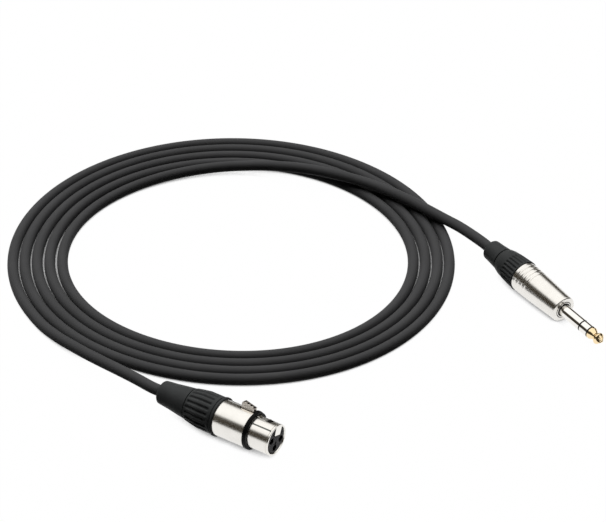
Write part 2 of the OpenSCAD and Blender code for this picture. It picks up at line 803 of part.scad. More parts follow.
jneck_r = 7.1;
jack_spigot = 2.4;
jack_nose_len = 3.4;
jrim_out = 0.45;
jrim_edge = 0.3;
jflute_r = 0.6;
jflute_depth = 0.35;
jflute_back = j_joint - 8.5;
jflute_front = j_joint - 1.2;
jflute_fall = 0.85;

module jack_bushing() {
    rim = shell_r + jrim_out;
    nose = shell_bore_r - thread_gap;
    inner = jchuck_r + chuck_clear;
    color([0.08, 0.08, 0.085]) place_jack() difference() {
        lathe([[inner, j_joint + jack_nose_len], [nose, j_joint + jack_nose_len], [nose, j_joint],
            each corner(rim - jrim_edge, j_joint - jrim_edge, jrim_edge, 90, 0),
            [rim - 0.1, jflute_front], [rim - jflute_fall, jflute_back],
            [jneck_r + 0.1, j_neck + neck_bead], [jneck_r - 0.15, j_neck],
            [jchuck_end_r, j_neck], [jchuck_end_r, jchuck_back - rim_groove],
            [jchuck_end_r + chuck_clear * 2, jchuck_back - rim_groove], [inner, jchuck_cone]]);
        flute_cutters(jack_flutes, jflute_back, rim - jflute_fall, jflute_front, rim - 0.1,
            jflute_r, jflute_depth);
    }
}

jboot_rear_r = 5.5;
jboot_mid = 5.5;
jboot_mid_r = jboot_rear_r + 0.4;
jneck_step = 0.65;

module jack_boot() {
    color([0.07, 0.07, 0.075]) place_jack()
        lathe([[boot_bore_r, j_rear],
            each corner(jboot_rear_r - boot_round, j_rear + boot_round, boot_round, -90, 0),
            [jboot_mid_r, j_rear + jboot_mid], [jneck_r - jneck_step, j_neck], [jchuck_end_r, j_neck],
            [jchuck_end_r, j_neck + jack_spigot], [boot_bore_r, j_neck + jack_spigot]]);
}

module cable_end_jack() {
    color([0.16, 0.16, 0.17]) place_jack() bar(j_rear, jack_jacket_end, cable_r);
}

cable_coil();
cable_tail_xlr();
cable_tail_jack();
cable_end_xlr();
cable_end_jack();
xlr_shell();
xlr_ring();
xlr_latch();
xlr_latch_pin();
xlr_latch_spring();
xlr_insert();
xlr_socket_shield();
xlr_socket_hot();
xlr_socket_cold();
xlr_core_shield();
xlr_core_hot();
xlr_core_cold();
xlr_chuck();
xlr_bushing();
xlr_boot();
jack_shell();
jack_sleeve_contact();
jack_ring_contact();
jack_tip_contact();
jack_insulator_outer();
jack_insulator_inner();
jack_washers();
jack_tag_ground();
jack_tag_ring();
jack_tag_tip();
jack_core_shield();
jack_core_hot();
jack_core_cold();
jack_chuck();
jack_bushing();
jack_boot();
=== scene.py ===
import bpy
import bmesh
import math
from mathutils import Matrix, Vector


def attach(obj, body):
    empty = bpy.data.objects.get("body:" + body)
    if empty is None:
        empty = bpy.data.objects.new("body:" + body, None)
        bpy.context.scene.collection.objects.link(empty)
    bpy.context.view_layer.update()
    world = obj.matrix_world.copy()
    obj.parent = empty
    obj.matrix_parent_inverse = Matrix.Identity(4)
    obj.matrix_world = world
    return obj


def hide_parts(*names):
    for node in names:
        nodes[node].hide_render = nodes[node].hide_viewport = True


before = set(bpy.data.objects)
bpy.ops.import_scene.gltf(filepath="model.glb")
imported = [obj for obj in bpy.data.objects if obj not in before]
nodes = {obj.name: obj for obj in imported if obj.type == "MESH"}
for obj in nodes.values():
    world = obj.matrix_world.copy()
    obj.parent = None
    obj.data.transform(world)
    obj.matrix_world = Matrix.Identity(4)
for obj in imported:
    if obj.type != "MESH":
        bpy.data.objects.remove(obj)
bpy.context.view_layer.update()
MM = 0.001

# ---- Sizes shared with the part's source, in millimetres ----
cable_d, strand_gap = 5.8, 0.5
cable_r = cable_d / 2
pitch = cable_d + strand_gap
coil_centre = (-76.6, 87.7)
coil_r, coil_oval, oval_turn, coil_lean = 116.0, 2.9, -19.0, 1.35
coil_third, third_turn, loosen, loose_turn = 0.42, 73.6, 0.165, 105.0
join_angle, step_angle = 237.0, 15.0
first_step, last_step, lift_step = 2, 106, 102
lift_h, lift_out = 3.0, 0.3
xlr_at, xlr_z, xlr_turn, xlr_roll = (0.2049, -1.426), 10.0, -33.7, 22.0
jack_at, jack_turn, jack_down = (1.4652, -0.4845), -55.5, 3.0
xlr_face = (coil_centre[0] + coil_r * xlr_at[0], coil_centre[1] + coil_r * xlr_at[1], xlr_z)
shell_front_r, shell_r = 7.0, 8.25
jack_root = (coil_centre[0] + coil_r * jack_at[0], coil_centre[1] + coil_r * jack_at[1],
             shell_front_r * math.cos(math.radians(jack_down)))
x_ring, x_step, x_joint, x_neck, x_rear = -11.9, -13.9, -31.4, -49.2, -67.3
j_joint, j_neck, j_rear = -33.0, -49.5, -60.7
nose_r, insert_r, barrel_r, barrel_bore = 8.0, 6.9, 9.2, 8.0
ring_r, hood_r, hood_z = 9.5, 4.1, 6.2
slot_w, pivot_x, pivot_z = 4.0, x_step - 13.6, 6.3
shaft_r = 3.175
s1, s2, s3, s4, s5 = 15.1, 15.9, 21.1, 21.9, 30.7


def sind(a):
    return math.sin(math.radians(a))


def cosd(a):
    return math.cos(math.radians(a))


place_xlr = (Matrix.Translation(Vector(xlr_face) * MM) @ Matrix.Rotation(math.radians(xlr_turn), 4, "Z")
             @ Matrix.Rotation(math.radians(-xlr_roll), 4, "X"))
place_jack = (Matrix.Translation(Vector(jack_root) * MM) @ Matrix.Rotation(math.radians(jack_turn), 4, "Z")
              @ Matrix.Rotation(math.radians(jack_down), 4, "Y"))
xlr_dir = place_xlr.to_3x3() @ Vector((1, 0, 0))
jack_dir = place_jack.to_3x3() @ Vector((1, 0, 0))
xlr_exit = Vector(xlr_face) + x_rear * xlr_dir
jack_exit = Vector(jack_root) + j_rear * jack_dir

# ---- Camera: looks along +Y, 35 degrees down ----
aim = Vector((-40.25, 85.05, 0)) * MM
view_down, view_far, sensor_mm = 35.0, 1.3, 36
focal_px, image_px = 2444, 606
cam_data = bpy.data.cameras.new("view")
cam_data.sensor_width = sensor_mm
cam_data.lens = focal_px / image_px * sensor_mm
cam_data.clip_start, cam_data.clip_end = 0.05, 50
camera = bpy.data.objects.new("view", cam_data)
camera.location = aim + view_far * Vector((0, -cosd(view_down), sind(view_down)))
camera.rotation_euler = (math.radians(90 - view_down), 0, 0)
bpy.context.scene.collection.objects.link(camera)
bpy.context.scene.camera = camera


# ---- The cable's route ----
def oval(a):
    return (coil_r - coil_lean * sind(a) + coil_oval * cosd(2 * (a - oval_turn))
            + coil_third * cosd(3 * (a - third_turn)))


def polar(a, r, z):
    return Vector((coil_centre[0] + r * cosd(a), coil_centre[1] + r * sind(a), z))


def lift(i):
    return 0 if i < lift_step else ((i - lift_step) / (last_step - lift_step)) ** 2


def spiral(i):
    a, t = join_angle - i * step_angle, i * step_angle / 360
    ease = loosen * (t * (1 + cosd(a - loose_turn)) / 2) ** 2
    return polar(a, oval(a) - pitch * t - ease + lift_out * lift(i), cable_r + lift_h * lift(i))


def beside(p):
    a, out, z = p
    return polar(a, oval(a) + pitch * (out - (join_angle - a) / 360), z)


xlr_tail_route = [(214, 0.05, 3.1), (221, 0.1, 4), (227.5, 0.2, 5.1), (233.5, 0.45, 6.3),
                  (239, 0.8, 7.5), (244.5, 1.3, 8.7), (249, 1.85, 9.5)]
jack_tail_route = [(80, -4.4, 6.8), (73, -4.35, 7.7), (66, -4.2, 8.5), (58.5, -3.95, 9),
                   (51, -3.6, 9.2), (43.5, -3.1, 9.3), (36, -2.5, 9.3), (29, -1.9, 9.3),
                   (22.5, -1.2, 9.3), (16.5, -0.45, 9.4), (11.5, 0.4, 9.4), (7.6, 1.2, 9.7),
                   (3.7, 1.95, 10.2)]
straight_end = 6.0


def smooth_line(points, gap):
    """Centripetal curve through the points, resampled about every gap."""
    pts = [2 * points[0] - points[1]] + list(points) + [2 * points[-1] - points[-2]]
    fine = []
    for k in range(1, len(pts) - 2):
        p = pts[k - 1:k + 3]
        t = [0.0]
        for a, b in zip(p, p[1:]):
            t.append(t[-1] + max((b - a).length, 1e-9) ** 0.5)
        for s in range(16):
            u = t[1] + (t[2] - t[1]) * s / 16
            a1 = (t[1] - u) / (t[1] - t[0]) * p[0] + (u - t[0]) / (t[1] - t[0]) * p[1]
            a2 = (t[2] - u) / (t[2] - t[1]) * p[1] + (u - t[1]) / (t[2] - t[1]) * p[2]
            a3 = (t[3] - u) / (t[3] - t[2]) * p[2] + (u - t[2]) / (t[3] - t[2]) * p[3]
            b1 = (t[2] - u) / (t[2] - t[0]) * a1 + (u - t[0]) / (t[2] - t[0]) * a2
            b2 = (t[3] - u) / (t[3] - t[1]) * a2 + (u - t[1]) / (t[3] - t[1]) * a3
            fine.append((t[2] - u) / (t[2] - t[1]) * b1 + (u - t[1]) / (t[2] - t[1]) * b2)
    fine.append(points[-1].copy())
    lengths = [0.0]
    for a, b in zip(fine, fine[1:]):
        lengths.append(lengths[-1] + (b - a).length)
    total = lengths[-1]
    count = round(total / gap)
    out, k = [], 0
    for n in range(count + 1):
        want = total * n / count
        while k < len(fine) - 2 and lengths[k + 1] < want:
            k += 1
        f = (want - lengths[k]) / max(lengths[k + 1] - lengths[k], 1e-9)
        out.append(fine[k].lerp(fine[k + 1], min(max(f, 0), 1)))
    return out, total


control = [xlr_exit, xlr_exit - straight_end * xlr_dir]
control += [beside(p) for p in reversed(xlr_tail_route)]
control += [spiral(first_step + k / 3) for k in range(3 * (last_step - first_step) + 1)]
control += [beside(p) for p in jack_tail_route]
control += [jack_exit - straight_end * jack_dir, jack_exit]
route, route_length = smooth_line(control, 2.4)
route = [p * MM for p in route]


# ---- Mesh helpers: connectors are built in their own frames, x forward, z up ----
def new_object(name, verts, faces, place=None):
    mesh = bpy.data.meshes.new(name)
    mesh.from_pydata(verts, [], faces)
    mesh.validate()
    mesh.update()
    mesh.shade_smooth()
    obj = bpy.data.objects.new(name, mesh)
    bpy.context.scene.collection.objects.link(obj)
    if place is not None:
        obj.matrix_world = place
    return obj


def tube_mesh(name, line, radius, sides):
    """A round tube on a line of points, with a UV map: u runs along it in metres."""
    verts, faces, along = [], [], [0.0]
    for k, p in enumerate(line):
        d = (line[min(k + 1, len(line) - 1)] - line[max(k - 1, 0)]).normalized()
        s = Vector((0, 0, 1)).cross(d).normalized()
        up = d.cross(s)
        if k:
            along.append(along[-1] + (p - line[k - 1]).length)
        for j in range(sides):
            a = 2 * math.pi * j / sides
            verts.append(p + radius * (math.cos(a) * s + math.sin(a) * up))
    for k in range(len(line) - 1):
        for j in range(sides):
            n = (j + 1) % sides
            faces.append((k * sides + j, k * sides + n, (k + 1) * sides + n, (k + 1) * sides + j))
    faces.append(tuple(range(sides))[::-1])
    faces.append(tuple((len(line) - 1) * sides + j for j in range(sides)))
    obj = new_object(name, verts, faces)
    uv = obj.data.uv_layers.new(name="length")
    quads = (len(line) - 1) * sides
    for poly in obj.data.polygons:
        for loop, vert in zip(poly.loop_indices, poly.vertices):
            k, j = divmod(vert, sides)
            v = j / sides
            if poly.index < quads and j == 0 and poly.index % sides == sides - 1:
                v = 1.0
            uv.data[loop].uv = (along[k], v)
    return obj


def rounded(outline, closed, steps=4):
    """Outline corners (x, r, fillet) with each stated fillet as an arc and a holding point beside it."""
    out, n = [], len(outline)
    for i, p in enumerate(outline):
        here = Vector(p[:2])
        fillet = p[2] if len(p) > 2 else 0
        if not fillet or (not closed and i in (0, n - 1)):
            out.append(here)
            continue
        a, b = Vector(outline[i - 1][:2]) - here, Vector(outline[(i + 1) % n][:2]) - here
        reach = min(a.length, b.length) * 0.45
        a.normalize()
        b.normalize()
        half = a.angle(b) / 2
        back = min(fillet / math.tan(half), reach)
        radius = back * math.tan(half)
        centre = here + (a + b).normalized() * (radius / math.sin(half))
        hold = min(back * 1.5, reach * 1.05)
        out.append(here + a * hold)
        start, end = here + a * back - centre, here + b * back - centre
        for k in range(steps + 1):
            out.append(centre + (start.lerp(end, k / steps)).normalized() * radius)
        out.append(here + b * hold)
    return out


def dense(points, gap, x0, x1):
    """More rows on the outline's stretches between two stations."""
    out = []
    for a, b in zip(points, points[1:] + points[:1]):
        out.append(a)
        if min(a[0], b[0]) >= x0 and max(a[0], b[0]) <= x1:
            n = int((b - a).length / gap)
            out += [a.lerp(b, k / (n + 1)) for k in range(1, n + 1)]
    return out


def turned(name, outline, place, columns=96, shape=None, closed=True, rows=None):
    """A turned piece: the outline goes round the x axis, its radius changed by shape(x, r, angle)."""
    line = rounded(outline, closed)
    if rows:
        line = dense(line, *rows)
    verts, faces = [], []
    for x, r in line:
        for k in range(columns):
            a = 2 * math.pi * k / columns
            q = shape(x, r, a) if shape else r
            verts.append((x * MM, q * math.sin(a) * MM, q * math.cos(a) * MM))
    count = len(line)
    for i in range(count if closed else count - 1):
        j = (i + 1) % count
        for k in range(columns):
            n = (k + 1) % columns
            faces.append((i * columns + k, i * columns + n, j * columns + n, j * columns + k))
    if not closed:
        faces.append(tuple(range(columns)))
        faces.append(tuple(range((count - 1) * columns, count * columns))[::-1])
    obj = new_object(name, verts, faces, place)
    bm = bmesh.new()
    bm.from_mesh(obj.data)
    bmesh.ops.recalc_face_normals(bm, faces=bm.faces)
    bm.to_mesh(obj.data)
    bm.free()
    return obj


def plate(name, outline, width, bevel, place, across="y", shift=0.0):
    """A flat outline given a width across the stated axis, its edges rounded."""
    bm = bmesh.new()
    half = width / 2

    def point(p, s):
        if across == "y":
            return (p[0] * MM, (shift + s) * MM, p[1] * MM)
        return ((shift + s) * MM, p[0] * MM, p[1] * MM)
    base = [bm.verts.new(point(p, -half)) for p in outline]
    top = [bm.verts.new(point(p, half)) for p in outline]
    bm.faces.new(base)
    bm.faces.new(top[::-1])
    n = len(outline)
    for k in range(n):
        bm.faces.new((base[k], top[k], top[(k + 1) % n], base[(k + 1) % n]))
    bmesh.ops.recalc_face_normals(bm, faces=bm.faces)
    if bevel:
        bmesh.ops.bevel(bm, geom=list(bm.edges), offset=bevel * MM, segments=3, profile=0.5,
                        affect="EDGES", clamp_overlap=True)
    mesh = bpy.data.meshes.new(name)
    bm.to_mesh(mesh)
    bm.free()
    obj = bpy.data.objects.new(name, mesh)
    bpy.context.scene.collection.objects.link(obj)
    obj.matrix_world = place
    return crisp(obj)


def block(x0, x1, y0, y1, z0, z1, place):
    """A plain cutter between two corners."""
    return plate("cutter", [(x0, z0), (x1, z0), (x1, z1), (x0, z1)], y1 - y0, 0, place,
                 shift=(y0 + y1) / 2)


def crisp(obj, angle=32):
    """Smooth shading with creases at sharp edges, large faces leading."""
    obj.data.shade_smooth()
    obj.data.set_sharp_from_angle(angle=math.radians(angle))
    lead = obj.modifiers.new("lead", "WEIGHTED_NORMAL")
    lead.keep_sharp = True
    return bake(obj)


def bake(obj):
    bpy.context.view_layer.update()
    seen = obj.evaluated_get(bpy.context.evaluated_depsgraph_get())
    mesh = bpy.data.meshes.new_from_object(seen)
    obj.modifiers.clear()
    obj.data = mesh
    return obj


def carve(obj, cutters, soften=0.12):
    """Takes the cutters out of a piece and breaks the new edges."""
    for tool in cutters:
        m = obj.modifiers.new("cut", "BOOLEAN")
        m.operation, m.solver, m.object = "DIFFERENCE", "EXACT", tool
    bake(obj)
    for tool in cutters:
        bpy.data.objects.remove(tool)
    if soften:
        m = obj.modifiers.new("edge", "BEVEL")
        m.limit_method, m.angle_limit = "ANGLE", math.radians(40)
        m.width, m.segments = soften * MM, 2
        bake(obj)
    return crisp(obj)


def merged(name, parts):
    """Several meshes of one place as one piece, their materials kept."""
    bm = bmesh.new()
    mats = []
    for obj in parts:
        start = len(bm.faces)
        bm.from_mesh(obj.data)
        bm.faces.ensure_lookup_table()
        own = list(obj.data.materials)
        for f in bm.faces[start:]:
            f.material_index = len(mats) + min(f.material_index, max(len(own) - 1, 0))
        mats += own
    place = parts[0].matrix_world.copy()
    mesh = bpy.data.meshes.new(name)
    bm.to_mesh(mesh)
    bm.free()
    for m in mats:
        mesh.materials.append(m)
    for obj in parts:
        bpy.data.objects.remove(obj)
    obj = bpy.data.objects.new(name, mesh)
    bpy.context.scene.collection.objects.link(obj)
    obj.matrix_world = place
    return obj


def fade(x, a, b):
    t = min(max((x - a) / (b - a), 0.0), 1.0)
    return t * t * (3 - 2 * t)


def fluting(count, back, front, over, half, depth, soft=0.9):
    """Shape of a turned piece with long rounded grooves between two stations."""
    def shape(x, r, a):
        if r < over:
            return r
        u = ((a * count / (2 * math.pi)) % 1 - 0.5) * 2 * math.pi * r / count
        if abs(u) >= half:
            return r
        groove = math.cos(math.pi / 2 * u / half) ** 1.2
        return r - depth * groove * fade(x - back, 0, soft) * fade(front - x, 0, soft)
    return shape


def hooded(x, r, a):
    """The ring's outline: a circle with a smaller one standing out of its top."""
    side = hood_z * math.sin(a)
    if r < nose_r + 0.05 or abs(side) >= hood_r or math.cos(a) < 0:
        return r
    hood = hood_z * math.cos(a) + math.sqrt(hood_r ** 2 - side ** 2)
    blend = 0.5
    top = max(hood, ring_r)
    if abs(hood - ring_r) < blend:
        top += (blend - abs(hood - ring_r)) ** 2 / (4 * blend)
    return r + (top - ring_r) * (r - nose_r) / (ring_r - nose_r)


# ---- Materials ----
class Build:
    """Small helper for a material's node tree."""

    def __init__(self, name):
        self.mat = bpy.data.materials.new(name)
        self.mat.use_nodes = True
        self.tree = self.mat.node_tree
        self.bsdf = next(n for n in self.tree.nodes if n.type == "BSDF_PRINCIPLED")

    def node(self, kind, **props):
        n = self.tree.nodes.new(kind)
        for key, value in props.items():
            if key.startswith("in_"):
                n.inputs[key[3:].replace("_", " ")].default_value = value
            else:
                setattr(n, key, value)
        return n

    def link(self, a, b):
        self.tree.links.new(a, b)

    def noise(self, vector, scale, detail=3.0, rough=0.55):
        n = self.node("ShaderNodeTexNoise", in_Scale=scale, in_Detail=detail, in_Roughness=rough)
        self.link(vector, n.inputs["Vector"])
        return n.outputs["Fac"]

    def remap(self, value, a, b, lo, hi):
        n = self.node("ShaderNodeMapRange")
        for key, v in zip(("From Min", "From Max", "To Min", "To Max"), (a, b, lo, hi)):
            n.inputs[key].default_value = v
        self.link(value, n.inputs["Value"])
        return n.outputs["Result"]

    def blend_colour(self, fac, low, high):
        n = self.node("ShaderNodeMix", data_type="RGBA")
        # the colour sockets are the third pair on the Mix node
        n.inputs[6].default_value = (*low, 1)
        n.inputs[7].default_value = (*high, 1)
        self.link(fac, n.inputs[0])
        return n.outputs[2]

    def bump(self, height, strength, distance):
        n = self.node("ShaderNodeBump", in_Strength=strength, in_Distance=distance)
        self.link(height, n.inputs["Height"])
        self.link(n.outputs["Normal"], self.bsdf.inputs["Normal"])

    def set(self, **values):
        for key, v in values.items():
            self.bsdf.inputs[key.replace("_", " ")].default_value = v


def coords(b, stretch=(1, 1, 1), own=False, turn=(0, 0, 0)):
    m = b.node("ShaderNodeMapping")
    m.inputs["Scale"].default_value = stretch
    m.inputs["Rotation"].default_value = turn
    if own:
        source = b.node("ShaderNodeAttribute", attribute_name="own").outputs["Vector"]
    else:
        source = b.node("ShaderNodeTexCoord").outputs["Object"]
    b.link(source, m.inputs["Vector"])
    return m.outputs["Vector"]


def grained(name, low, high, rough, grain, depth, metallic=0.0, stretch=(1, 1, 1), cloud=60.0,
            strength=0.25, spread=0.05, **sockets):
    """Colour clouds, uneven roughness and a fine grain in the surface."""
    b = Build(name)
    v = coords(b, stretch)
    clouds = b.noise(v, cloud, 4.0)
    b.link(b.blend_colour(b.remap(clouds, 0.3, 0.7, 0, 1), low, high), b.bsdf.inputs["Base Color"])
    b.link(b.remap(b.noise(v, cloud * 2.3, 4.0), 0.3, 0.7, rough - spread, rough + spread),
           b.bsdf.inputs["Roughness"])
    b.bump(b.noise(v, grain, 2.0), strength, depth)
    b.set(Metallic=metallic, **sockets)
    return b.mat


def plated(name, low, high, rough, spread, lines, depth):
    """Plated metal with fine marks of turning round the x axis and a soft mottle."""
    b = Build(name)
    round_marks = b.noise(coords(b, (lines, lines / 60, lines / 60), own=True), 1.0, 3.0, 0.6)
    mottle = b.noise(coords(b), 160.0, 3.0)
    b.link(b.blend_colour(b.remap(mottle, 0.3, 0.7, 0, 1), low, high), b.bsdf.inputs["Base Color"])
    b.link(b.remap(round_marks, 0.3, 0.7, rough - spread, rough + spread), b.bsdf.inputs["Roughness"])
    b.bump(round_marks, 0.5, depth)
    b.set(Metallic=1.0)
    return b.mat


def pressed(name, low, high, rough, lines):
    """Pressed steel with fine slanting lines from the die on its sides."""
    b = Build(name)
    slant = b.noise(coords(b, (lines, lines / 30, lines / 3), True, (0, math.radians(50), 0)), 1.0, 2.0)
    b.link(b.blend_colour(b.remap(slant, 0.35, 0.65, 0, 1), low, high), b.bsdf.inputs["Base Color"])
    b.link(b.remap(slant, 0.3, 0.7, rough - 0.06, rough + 0.06), b.bsdf.inputs["Roughness"])
    b.bump(slant, 0.4, 0.00004)
    b.set(Metallic=1.0)
    return b.mat


jacket = grained("jacket", (0.106, 0.106, 0.108), (0.124, 0.124, 0.126), 0.50, 2600, 0.00008,
                 cloud=35, strength=0.3, Specular_IOR_Level=0.02)
nickel = plated("nickel_satin", (0.83, 0.81, 0.77), (0.88, 0.86, 0.82), 0.24, 0.012, 5200, 0.0000005)
bright = plated("nickel_bright", (0.88, 0.86, 0.82), (0.92, 0.90, 0.86), 0.08, 0.02, 5200, 0.000002)
gold = plated("gold_plate", (0.93, 0.72, 0.43), (0.96, 0.79, 0.52), 0.06, 0.02, 5200, 0.000001)
steel = pressed("latch_steel", (0.66, 0.60, 0.53), (0.93, 0.88, 0.81), 0.34, 2600)
seam_grey = grained("seam_grey", (0.30, 0.31, 0.28), (0.36, 0.37, 0.34), 0.6, 2600, 0.00003,
                    Specular_IOR_Level=0.2)
# near-black steel: painted shade on the latch's tooth and on the pad's ridges
painted_shade_steel = grained("latch_painted_shade", (0.012, 0.011, 0.010), (0.03, 0.027, 0.024), 0.45, 2600, 0.00003,
                     cloud=300, Specular_IOR_Level=0.25)
ring_black = grained("ring_black", (0.003, 0.003, 0.003), (0.005, 0.005, 0.005), 0.42, 2400, 0.00004,
                     cloud=150, strength=0.25, Specular_IOR_Level=0.08)
insert_grey = grained("insert_grey", (0.120, 0.120, 0.125), (0.150, 0.150, 0.155), 0.5, 2600, 0.00005,
                      cloud=150, strength=0.3, Specular_IOR_Level=0.2)
# near-black copy of the insert plastic: painted shade seen through the socket holes behind the grey face
# plate
insert_painted_shade = grained("insert_painted_shade", (0.006, 0.006, 0.007), (0.010, 0.010, 0.011), 0.5, 2600, 0.00005,
                      cloud=150, strength=0.3, Specular_IOR_Level=0.05)
boot_black = grained("boot_black", (0.082, 0.085, 0.085), (0.100, 0.104, 0.104), 0.36, 2200, 0.00006,
                     cloud=90, strength=0.25, Specular_IOR_Level=0.03)
# near-black plastic of the jack's insulators, also used for the painted shade rings in the jack's root and
# mouth gaps
dark_plastic_and_painted_shade = grained("dark_plastic_and_painted_shade", (0.006, 0.006, 0.006), (0.012, 0.012, 0.012), 0.4, 2400, 0.00004,
                       Specular_IOR_Level=0.25)
# brass held darker than its own tone: brass colour partly painted shade for the sockets deep in the holes
brass_painted_shade = grained("contact_brass", (0.40, 0.32, 0.18), (0.5, 0.42, 0.26), 0.3, 2500, 0.00002, metallic=1.0)
tin = grained("tinned_brass", (0.66, 0.6, 0.46), (0.74, 0.7, 0.6), 0.3, 2500, 0.00002, metallic=1.0)
copper = grained("bare_copper", (0.7, 0.4, 0.26), (0.8, 0.5, 0.34), 0.35, 2500, 0.00002, metallic=1.0)
red_core = grained("core_red", (0.55, 0.05, 0.04), (0.65, 0.07, 0.05), 0.45, 2400, 0.00004)
white_core = grained("core_white", (0.75, 0.75, 0.72), (0.8, 0.8, 0.77), 0.45, 2400, 0.00004)
washer = grained("washer_fibre", (0.2, 0.09, 0.04), (0.27, 0.12, 0.06), 0.6, 2400, 0.00005)
collet = grained("collet_plastic", (0.06, 0.06, 0.06), (0.08, 0.08, 0.08), 0.5, 2400, 0.00005)


def dress(obj, mat):
    obj.data.materials.clear()
    obj.data.materials.append(mat)


def settle(obj):
    """Puts the place into the mesh, and keeps the piece's own coordinates for its material."""
    mesh = obj.data
    flat = [c for v in mesh.vertices for c in v.co]
    mesh.attributes.new("own", "FLOAT_VECTOR", "POINT").data.foreach_set("vector", flat)
    mesh.transform(obj.matrix_world)
    obj.matrix_world = Matrix.Identity(4)


def finish_piece(obj, body, slot, *replaced, mat=None):
    """Material, body and the CAD nodes that a piece stands for; slot is not used."""
    if mat is not None:
        dress(obj, mat)
    settle(obj)
    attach(obj, body)
    if replaced:
        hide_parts(*replaced)
    return obj


# ---- Cable ----
cable = tube_mesh("cable", route, cable_r * MM, 24)
finish_piece(cable, "root", "jacket", "cable_coil", "cable_tail_xlr", "cable_tail_jack", mat=jacket)

# ---- Socket connector ----
rim_back, rim_end, rim_slope, rim_depth = -0.75, -1.2, 0.1, 0.25
bore_front, mouth_flare = x_step - 3.6, 7.2
shell = turned("socket_shell", [
    (-0.6, insert_r, 0.05), (0, mouth_flare, 0.15), (0, nose_r, 0.4), (rim_back, nose_r, 0.06),
    (rim_back - rim_slope, nose_r - rim_depth, 0.05), (rim_end + rim_slope, nose_r - rim_depth, 0.05),
    (rim_end, nose_r, 0.06), (x_step, nose_r), (x_step, barrel_r, 0.5),
    (x_joint, barrel_r, 0.15), (x_joint, barrel_bore, 0.1), (bore_front, barrel_bore),
    (bore_front, insert_r)], place_xlr, 192, rows=(0.8, x_joint + 0.2, rim_end))
window_floor, pad_floor, window_front, window_back = 5.3, 5.6, -4.1, x_step - 8.5
shell = carve(shell, [
    block(bore_front - 0.01, window_front, -slot_w / 2, slot_w / 2, window_floor, barrel_r + 1, place_xlr),
    block(window_back, x_step + 0.01, -slot_w / 2, slot_w / 2, pad_floor, barrel_r + 1, place_xlr)])
seam_turn, seam_w, seam_depth, joint_in = 46.0, 0.8, 0.4, 0.03
seam_front, seam_back, seam_floor = -0.95, x_ring + 0.05, nose_r - seam_depth
seams = []
for side in (-1, 1):
    turn = place_xlr @ Matrix.Rotation(math.radians(side * seam_turn), 4, "X")
    seams.append(block(x_ring - 1, seam_front, -seam_w / 2, seam_w / 2, seam_floor, nose_r + 1, turn))
    joint = plate("nose_seam", [(seam_back, seam_floor), (seam_front, seam_floor),
                                (seam_front, nose_r - joint_in), (seam_back, nose_r - joint_in)],
                  seam_w, 0.04, turn)
    finish_piece(joint, "root", "nickel_shell", mat=seam_grey)
shell = carve(shell, seams, 0.08)
finish_piece(shell, "root", "nickel_shell", "xlr_shell", mat=nickel)

key_top, key_bottom, key_low = 2.5, 2.3, insert_r - 4.4
key_back, key_front, key_reach = -3.1, -0.04, insert_r + 0.25
trough = plate("key_trough", [(-key_top, key_reach), (-key_bottom, key_low), (key_bottom, key_low),
                              (key_top, key_reach)], key_front - key_back, 0.12, place_xlr, "x",
               (key_front + key_back) / 2)
finish_piece(trough, "root", "nickel_shell", mat=bright)

pole_r, hole_r, pip_hole_r = 4.0, 1.65, 0.5
plate_r, plate_front, plate_back, key_side, key_foot = 6.45, -0.2, -0.62, 0.45, 0.35
face = turned("insert_plate", [(plate_back, plate_r), (plate_front, plate_r, 0.12), (plate_front, 0.02)],
              place_xlr, 96, closed=False)
holes = [(pole_r, 0, hole_r), (-pole_r, 0, hole_r), (0, -pole_r, hole_r), (0, -pole_r / 3, pip_hole_r)]
cuts = [plate("cutter", [(y + r * cosd(10 * k), z + r * sind(10 * k)) for k in range(36)], 2, 0,
              place_xlr, "x") for y, z, r in holes]
cuts.append(block(-2, 1, -key_top - key_side, key_top + key_side, key_low - key_foot, nose_r, place_xlr))
face = carve(face, cuts, 0.14)
finish_piece(face, "root", "insert_plastic", mat=insert_grey)

ring = turned("collar_ring", [(x_ring, nose_r), (x_ring, ring_r, 0.35), (x_step, ring_r, 0.35),
                              (x_step, nose_r)], place_xlr, 240, hooded)
tunnel_low, tunnel_top = 6.3, 8.8
ring = carve(ring, [block(x_step - 1, x_ring + 1, -slot_w / 2, slot_w / 2, tunnel_low, tunnel_top,
                          place_xlr)])
finish_piece(ring, "root", "black_ring", "xlr_ring", mat=ring_black)

tooth_front, tooth_len, tooth_top = -5.3, 1.7, 8.12
tooth_back = tooth_front - tooth_len
pad_front, pad_back, pad_top, pad_slope = x_step - 0.5, x_step - 7.9, 12.7, 1.4
arm_w, pad_w, pad_shift, edge_soft = 3.4, 2.6, -0.3, 0.15
arm_low, arm_top, hump_top, arm_end = 6.1, 7.7, 8.4, tooth_front - 0.6
rear_low, rear_seat, rear_top, boss_r = 5.4, 5.9, 7.1, 1.2
tooth_chamfer, tooth_heel, pad_chamfer, pad_low = 0.5, 7.6, 0.8, 7
arm = plate("latch_arm", [(x_step - 1, arm_low), (arm_end, arm_low), (arm_end, arm_top),
                          (x_ring + 1.8, arm_top), (x_ring, hump_top), (x_step - 1, hump_top)],
            arm_w, edge_soft, place_xlr)
tooth = plate("latch_tooth", [(tooth_front, arm_low), (tooth_front, tooth_top - tooth_chamfer),
                              (tooth_front - tooth_chamfer, tooth_top),
                              (tooth_back + tooth_chamfer, tooth_top), (tooth_back, tooth_heel),
                              (tooth_back, arm_low)], arm_w + 0.02, edge_soft, place_xlr)
rear_arm = plate("latch_rear", [(pivot_x, rear_low), (pad_back, rear_seat), (pad_front, rear_seat),
                                (pad_front, arm_top), (pad_back, arm_top), (pad_back, rear_top),
                                (pivot_x, rear_top)], arm_w, edge_soft, place_xlr)
boss = plate("latch_boss", [(pivot_x + boss_r * cosd(15 * k), pivot_z + boss_r * sind(15 * k))
                            for k in range(24)], arm_w, 0.1, place_xlr)
